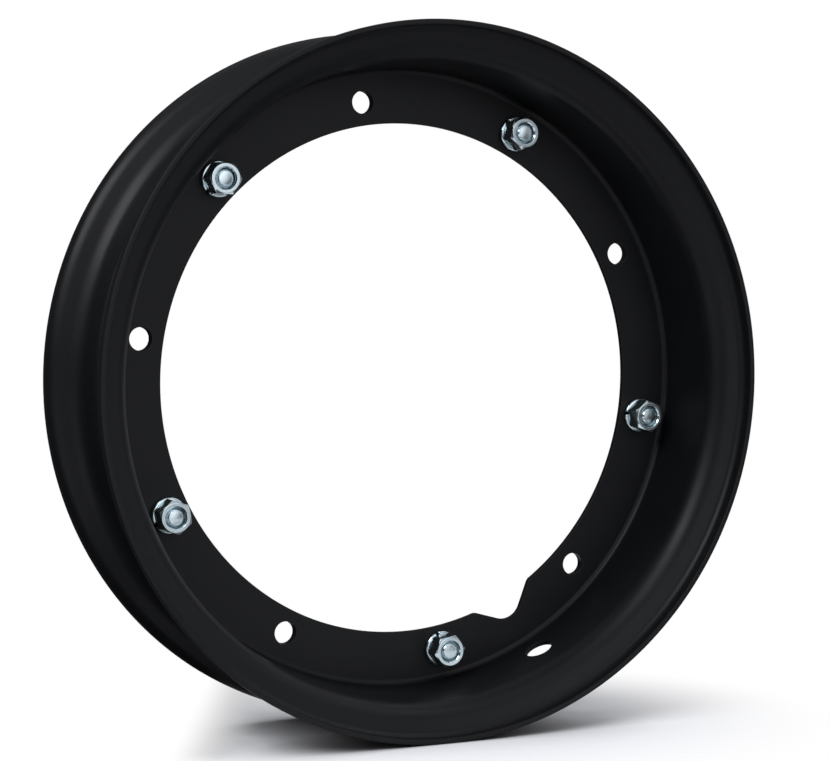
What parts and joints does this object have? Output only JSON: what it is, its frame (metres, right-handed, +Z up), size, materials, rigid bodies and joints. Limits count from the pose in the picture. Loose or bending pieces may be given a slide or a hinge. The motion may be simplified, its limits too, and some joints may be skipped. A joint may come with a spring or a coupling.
{
  "type": "scooter wheel rim",
  "caption": "Split pressed-steel scooter wheel rim in satin black: a wide and a narrow half clamped disc to disc by studs and zinc-plated nuts, with hub bolt holes and a valve hole.",
  "frame": {"origin": "wheel centre, on the nut-side face of the wide half's disc", "axes": "Y is the wheel's axis and -Y points out of the nut side; +Z is up with the wheel standing upright"},
  "size_m": [0.2784, 0.0727, 0.2784],
  "materials": {
    "black_paint": "satin",
    "zinc_plate": "bright zinc plate"
  },
  "bodies": {
    "root": {"rim_half_wide": "black_paint", "rim_half_narrow": "black_paint", "clamp_studs": "zinc_plate", "lock_washers": "zinc_plate", "clamp_nuts": "zinc_plate"}
  },
  "joints": []
}
